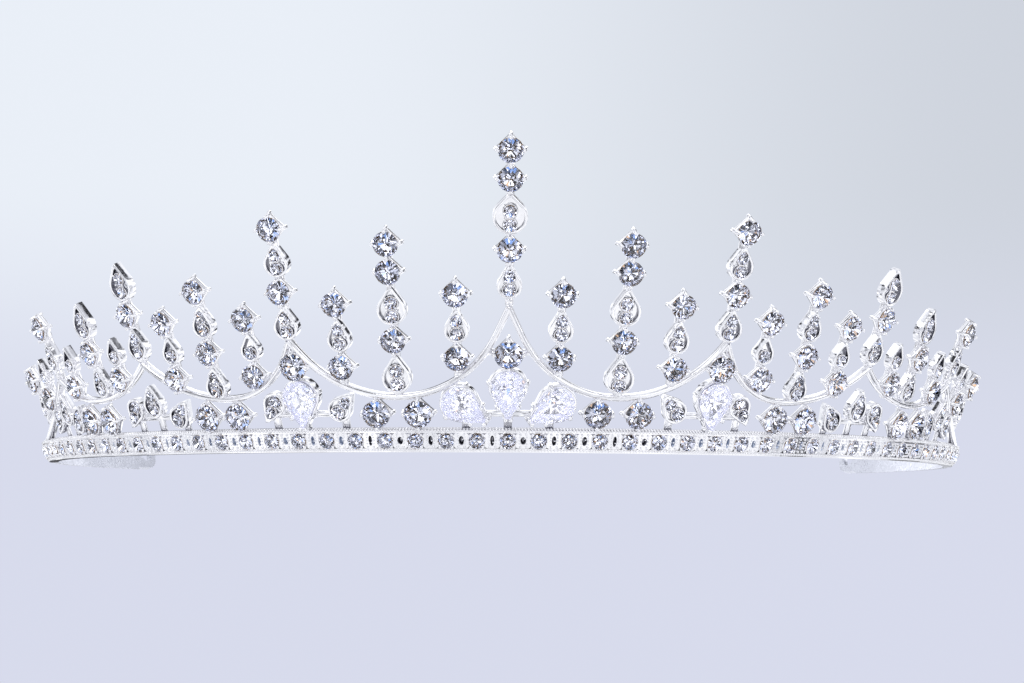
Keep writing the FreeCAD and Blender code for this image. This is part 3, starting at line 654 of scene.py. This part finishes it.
# gallery between the rail and the swags: setting, angle, height and turn in the plane of the front
galleryCentre = (("gallery", 0.0, 12.3, 0), ("pear", 0.0, 6.6, 180),
                 ("pear", 4.45, 4.75, 236), ("pear", -4.45, 4.75, -236))
galleryClusters = {
    "gallery_cluster_1": (("short", 17.6, 4.9, -42), ("pear", 22.1, 5.35, 180),
                          ("short", 25.7, 4.7, 148), ("gallery", 22.3, 10.75, 0)),
    "gallery_cluster_2": (("short", 38.1, 4.3, -38), ("peak", 42.0, 6.2, 0),
                          ("short", 45.4, 4.5, 148)),
    "gallery_cluster_3": (("short", 57.7, 4.3, -34), ("peak", 60.7, 5.8, 0),
                          ("short", 63.9, 4.1, 140)),
}
galleryRounds = ((9.4, 3.9), (13.85, 3.9), (30.0, 3.7), (34.05, 3.7), (50.2, 3.7), (54.2, 3.9))
# bars behind the gallery: height of the ties, half their width, height and reach of the side bar
galleryBars = {"foot": 0.9, "tie": 3.6, "half": 0.44, "sideBar": (12.3, 3.2)}


def galleryCasting(name, items, sideBars):
    bm = bmesh.new()
    angles = [item[1] for item in items]
    middle = (min(angles) + max(angles)) / 2
    half, barHalf = casting["spine"][0] / 2, galleryBars["half"]
    for kind, angle, height, turn in items:
        place = onCone(angle, height, turn)
        addCopy(bm, settings[kind], place)
        setStones(kind, place)
        backBar(bm, onCone(angle), (-half, half), (galleryBars["foot"], height))
    reach = math.radians((max(angles) - min(angles)) / 2) * cone["radius"]
    for height, reach in [(galleryBars["tie"], reach), *sideBars]:
        backBar(bm, onCone(middle, height), (-reach, reach), (-barHalf, barHalf))
    finishPiece(bm, name + "_plate", name, [plateFinish, shadeFinish])


galleryCasting("gallery_centre", galleryCentre, [galleryBars["sideBar"]])
for name, items in galleryClusters.items():
    for sideName, side in sides:
        mirrored = [(kind, side * angle, height, side * turn)
                    for kind, angle, height, turn in items]
        galleryCasting(f"{name}_{sideName}", mirrored, [])
bm = bmesh.new()
for angle, height in galleryRounds:
    for sideName, side in sides:
        place = onCone(side * angle, height)
        addCopy(bm, settings["gallery"], place)
        setStones("gallery", place)
finishPiece(bm, "gallery_settings_plate", "gallery_settings", [plateFinish])
print("gallery ready")


# rail: sizes of the strip, of its seats and stones, and of the webs between the seats
railSizes = {
    "depth": 1.3, "lip": 0.4, "channel": 0.7, "pitch": 3.3, "stones": 51, "steps": 204,
    "bezel": 1.3, "stone": 1.15, "pavilion": 0.6, "proud": 0.1, "cornerBead": 0.27, "beadRing": 1.2,
    "web": (1.12, 1.16), "squareness": 6, "hollowDepth": 0.6,
    "hollows": ((0.3, 0.62), (0.22, 0.72), (0.33, 0.5), (0.26, 0.66)),   # half width and height
    "shaded": 17.0,    # angle up to which the hollows get the darkest painted shade
    "grains": ((0.4, 0.92, 0.2), (0.47, 0.5, 0.14), (0.5, 0.05, 0.15), (0.47, -0.42, 0.14),
               (0.4, -0.88, 0.2)),   # one side's grains on a web: place and radius
    "beadRadius": 0.23, "beadSpacing": 1.9, "strayGrain": 0.16,
}


def oval(width, height, power=2):
    # power 2 is an ellipse, and a higher one squares it up
    def shape(x, y):
        angle = math.atan2(y, x)
        across, up = abs(math.cos(angle) / width) ** power, abs(math.sin(angle) / height) ** power
        length = (across + up) ** (-1 / power)
        return length * math.cos(angle), length * math.sin(angle)
    return shape


def railSeat(bm):
    front, reach = railSizes["depth"] / 2 + railSizes["proud"], railSizes["beadRing"]
    seatRing(bm, 24, railSizes["bezel"], -0.1, front - 0.03, railSizes["stone"])
    for corner in range(4):
        turn = math.radians(45 + 90 * corner)
        bead(bm, (reach * math.cos(turn), reach * math.sin(turn), front + 0.02),
             railSizes["cornerBead"])


def railWeb(bm, across, up, finish):
    # saddle between two seats with a lens-shaped hollow, and grains round it
    front = railSizes["depth"] / 2 - 0.02
    (width, height), square = railSizes["web"], railSizes["squareness"]
    face = startFace(bm, 32, 0.0, oval(width, height, square))
    for level, shape in ((front - 0.1, oval(width, height, square)),
                         (front, oval(width - 0.07, height - 0.07, square)),
                         (front, oval(across + 0.06, up + 0.06)), (front - 0.08, oval(across, up)),
                         (front - railSizes["hollowDepth"], oval(across * 0.4, up * 0.55))):
        face = pullFace(bm, face, level, shape)
    # painted shade on the hollow's walls, in the finish given
    for wall in {wall for edge in face.edges for wall in edge.link_faces}:
        wall.material_index = finish
    for x, y, radius in railSizes["grains"]:
        for side in (-1, 1):
            bead(bm, (x * side, y, front + 0.05), radius)
    # a stray grain in the hollow, higher or lower in each of its shapes
    bead(bm, (across * 0.5, up * (across - 0.27) * 8, front - 0.22), railSizes["strayGrain"])


def wallPoint(inward, height):
    lean = cone["lean"]
    return Vector((0, -cone["radius"] - height * math.sin(lean) + inward * math.cos(lean),
                   cone["stoneLine"] + height * math.cos(lean) + inward * math.sin(lean)))


def underside(inward):
    # point of the section on the flat underside
    lean = cone["lean"]
    return wallPoint(inward, -(cone["stoneLine"] + inward * math.sin(lean)) / math.cos(lean))


def railStrip(bm, end):
    # leaning strip with a channel in its front, turned about the head's axis
    half, top, lip = railSizes["depth"] / 2, cone["railTop"], railSizes["lip"]
    floor = railSizes["channel"] - half
    face = flatFace(bm, [underside(half), underside(-half), wallPoint(-half, lip - top),
                         wallPoint(floor, lip - top), wallPoint(floor, top - lip),
                         wallPoint(-half, top - lip), wallPoint(-half, top), wallPoint(half, top)])
    bmesh.ops.rotate(bm, matrix=Matrix.Rotation(math.radians(-end), 3, "Z"), verts=bm.verts[:])
    bmesh.ops.spin(bm, geom=[face] + list(face.edges) + list(face.verts), axis=(0, 0, 1),
                   angle=math.radians(2 * end), steps=railSizes["steps"])
    bmesh.ops.remove_doubles(bm, verts=bm.verts[:], dist=1e-4)
    bmesh.ops.recalc_face_normals(bm, faces=bm.faces)
    for strip in bm.faces:   # painted shade on the ground that the edge beads stand on, so the beads stand out
        strip.material_index = 1 if strip.normal.dot(Vector((0, -0.36, 0.93))) > 0.75 else 0


def makeRail():
    bm = bmesh.new()
    half, top, pitch = railSizes["depth"] / 2, cone["railTop"], railSizes["pitch"]
    end = pitch * railSizes["stones"] / 2
    railStrip(bm, end)
    seat, gem = template(railSeat), template(brilliant, railSizes["stone"], railSizes["pavilion"])
    hollows = railSizes["hollows"]
    # outer hollows get the bluish painted shade with a painted reflection, the middle ones the
    # darkest painted shade
    webs = [template(railWeb, *hollow, finish) for finish in (2, 1) for hollow in hollows]
    for number in range(railSizes["stones"]):
        angle = pitch * (number + 0.5) - end
        addCopy(bm, seat, onCone(angle))
        bedded = Matrix.Translation((0, 0, half + railSizes["proud"]))
        addCopy(stoneBeds["rail_stones"], gem,
                onCone(angle) @ bedded @ Matrix.Rotation(number * stoneTurn, 4, "Z"))
        if number:
            middle = angle - pitch / 2
            shaded = len(hollows) * (abs(middle) < railSizes["shaded"])
            addCopy(bm, webs[shaded + number % len(hollows)], onCone(middle))
    grain = template(bead, (0, 0, 0), railSizes["beadRadius"])
    for height, outset in ((top - 0.05, half - 0.06), (top, half - 0.5), (0.16 - top, half - 0.04)):
        radius = cone["radius"] + height * math.sin(cone["lean"])
        spacing = railSizes["beadRadius"] * railSizes["beadSpacing"]
        count = int(math.radians(2 * end) * radius / spacing)
        for number in range(count):
            angle = -end + 2 * end * (number + 0.5) / count
            addCopy(bm, grain, onCone(angle, height) @ Matrix.Translation((0, 0, outset)))
    finishPiece(bm, "base_rail_plate", "base_rail",
                [plateFinish, shadeFinish, hollowShadeFinish])


makeRail()
print("rail ready")

for bed, bm in stoneBeds.items():
    slot, finishes = "foiled_crystal", [crystalFinish, foilFinish, lacquerFinish]
    if bed == "pear_stones":
        slot, finishes = "pear_zirconia", [zirconiaFinish, pavilionFinish]
    finishPiece(bm, bed + "_cut", bed, finishes, crease=0)
for name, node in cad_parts.items():
    if name.startswith(("back_band", "end_ring")):
        node.data.materials.clear()
        node.data.materials.append(bandFinish)
print("stones ready")


floorSizes = {"half": 1.6, "colour": (0.80, 0.82, 0.88), "roughness": 0.6}   # metres


def makeFloor():
    bm = bmesh.new()
    bmesh.ops.create_grid(bm, x_segments=1, y_segments=1, size=floorSizes["half"])
    mesh = bpy.data.meshes.new("floor")
    bm.to_mesh(mesh)
    bm.free()
    floor = bpy.data.objects.new("floor", mesh)
    scene.collection.objects.link(floor)
    material, tree, shader = newMaterial("paleFloor")
    shader.inputs["Base Color"].default_value = (*floorSizes["colour"], 1)
    shader.inputs["Roughness"].default_value = floorSizes["roughness"]
    # seen from above only, because the camera looks up slightly from below its level
    below = addNode(tree, "ShaderNodeNewGeometry").outputs["Backfacing"]
    clear = addNode(tree, "ShaderNodeBsdfTransparent")
    mix = addNode(tree, "ShaderNodeMixShader",
                  {0: below, 1: shader.outputs[0], 2: clear.outputs[0]})
    tree.links.new(mix.outputs[0], tree.nodes["Material Output"].inputs[0])
    mesh.materials.append(material)
    floor.visible_glossy = floor.visible_transmission = False   # plate and stones mirror the studio


backdropTones = {"left": (0.82, 0.865, 0.935, 1), "right": (0.62, 0.655, 0.725, 1),
                 "low": (0.685, 0.71, 0.84, 1)}
# what the plate mirrors: soft white with grey and dark flags, and a clear belt for the flat fronts
studioTones = {
    "flags": ((0.37, (0.03, 0.03, 0.035)), (0.42, (0.4, 0.41, 0.45)), (0.47, (0.84, 0.86, 0.93)),
              (0.56, (1.0, 1.02, 1.06)), (0.66, (1.7, 1.7, 1.75))),
    "belt": ((0.35, (0.8, 0.82, 0.88)), (0.5, (0.98, 0.99, 1.03)), (0.62, (1.25, 1.25, 1.28))),
    "beltHeight": -0.68, "beltHalf": (0.2, 0.12), "flagScale": 3.2,
}
# cards that the cut stones mirror: more black ones ahead of the tiara, more white ones beside it
black, pale, blue = (0.006, 0.006, 0.009), (1.05, 1.07, 1.15), (0.4, 0.65, 1.2)
amber, lamp = (1.3, 0.85, 0.5), (6.5, 6.5, 6.5)
cards = {
    "scale": 7.0,
    "ahead": ((0.0, black), (0.3, (0.2, 0.21, 0.25)), (0.38, black), (0.6, (2.5, 2.52, 2.65)),
              (0.78, blue), (0.83, pale), (0.91, amber), (0.94, lamp)),
    "beside": ((0.0, black), (0.18, (0.5, 0.51, 0.55)), (0.3, black), (0.34, (1.5, 1.52, 1.6)),
               (0.72, blue), (0.76, pale), (0.93, amber), (0.95, lamp)),
}


def makeWorld():
    world = bpy.data.worlds.new("studio")
    scene.world = world
    world.use_nodes = True
    tree = world.node_tree
    tree.nodes.clear()
    where = addNode(tree, "ShaderNodeTexCoord").outputs["Generated"]
    split = addNode(tree, "ShaderNodeSeparateXYZ", {0: where})
    across, upward = split.outputs[0], split.outputs[2]

    def spread(value, low, high):
        return addNode(tree, "ShaderNodeMapRange", {0: value, 1: low, 2: high},
                       interpolation_type="SMOOTHSTEP").outputs[0]

    def blend(factor, first, second):
        return addNode(tree, "ShaderNodeMix", {0: factor, 6: first, 7: second},
                       data_type="RGBA").outputs[2]

    def size(value):
        return addNode(tree, "ShaderNodeMath", {0: value}, operation="ABSOLUTE").outputs[0]

    backdrop = blend(spread(across, -0.08, 0.22), backdropTones["left"], backdropTones["right"])
    backdrop = blend(spread(upward, 0.135, 0.025), backdrop, backdropTones["low"])
    flags = addNode(tree, "ShaderNodeTexNoise", {"Vector": where, "Scale": studioTones["flagScale"],
                                                 "Detail": 1.5}).outputs[0]
    level = addNode(tree, "ShaderNodeMath", {0: upward, 1: -studioTones["beltHeight"]},
                    operation="ADD").outputs[0]
    studio = blend(spread(size(level), *studioTones["beltHalf"]),
                   ramp(tree, flags, studioTones["flags"]), ramp(tree, flags, studioTones["belt"]))
    pattern = addNode(tree, "ShaderNodeTexVoronoi", {"Vector": where, "Scale": cards["scale"]})
    pick = addNode(tree, "ShaderNodeSeparateColor", {0: pattern.outputs["Color"]}).outputs[0]
    ahead, beside = ramp(tree, pick, cards["ahead"]), ramp(tree, pick, cards["beside"])
    for sharp in (ahead, beside):
        sharp.node.color_ramp.interpolation = "CONSTANT"
    sparkle = blend(spread(size(across), 0.25, 0.75), ahead, beside)
    path = addNode(tree, "ShaderNodeLightPath")
    studio = blend(path.outputs["Is Transmission Ray"], studio, sparkle)
    colour = blend(path.outputs["Is Camera Ray"], studio, backdrop)
    background = addNode(tree, "ShaderNodeBackground", {"Color": colour, "Strength": 1.0})
    output = addNode(tree, "ShaderNodeOutputWorld")
    tree.links.new(background.outputs[0], output.inputs[0])


# soft boxes: place and side in metres, and power in watts
softBoxes = {"keyLight": ((-0.5, -0.7, 0.9), 0.5, 1.6), "fillLight": ((0.8, -0.5, 0.5), 0.6, 0.8),
             "backLight": ((0.1, 0.8, 0.7), 0.6, 1.2)}


def makeLights():
    target = Vector((0, -0.06, 0.015))
    for name, (place, size, power) in softBoxes.items():
        light = bpy.data.lights.new(name, "AREA")
        light.size = size
        light.energy = power
        box = bpy.data.objects.new(name, light)
        box.location = place
        box.rotation_euler = (target - box.location).to_track_quat("-Z", "Y").to_euler()
        scene.collection.objects.link(box)


# camera: place in millimetres, turns in radians, lens in millimetres
view = {"place": (-5.5, -435.0, -11.3), "yaw": 0.0166, "pitch": 0.0727, "roll": 0.0051,
        "lens": 93.74}


def makeCamera():
    data = bpy.data.cameras.new("camera")
    data.lens = view["lens"]
    data.clip_start, data.clip_end = 0.01, 10
    camera = bpy.data.objects.new("camera", data)
    yaw, pitch, roll = view["yaw"], view["pitch"], view["roll"]
    forward = Vector((math.sin(yaw) * math.cos(pitch), math.cos(yaw) * math.cos(pitch),
                      math.sin(pitch)))
    right = Vector((math.cos(yaw), -math.sin(yaw), 0))
    upward = right.cross(forward)
    rolledRight = right * math.cos(roll) + upward * math.sin(roll)
    rolledUp = upward * math.cos(roll) - right * math.sin(roll)
    turn = Matrix((rolledRight, rolledUp, -forward)).transposed().to_4x4()
    camera.matrix_world = Matrix.Translation(Vector(view["place"]) * 0.001) @ turn
    scene.collection.objects.link(camera)
    scene.camera = camera


makeFloor()
makeWorld()
makeLights()
makeCamera()
scene.view_settings.view_transform = "Standard"
scene.cycles.glossy_bounces = 12   # light crosses a foiled stone many times
print("stage ready")
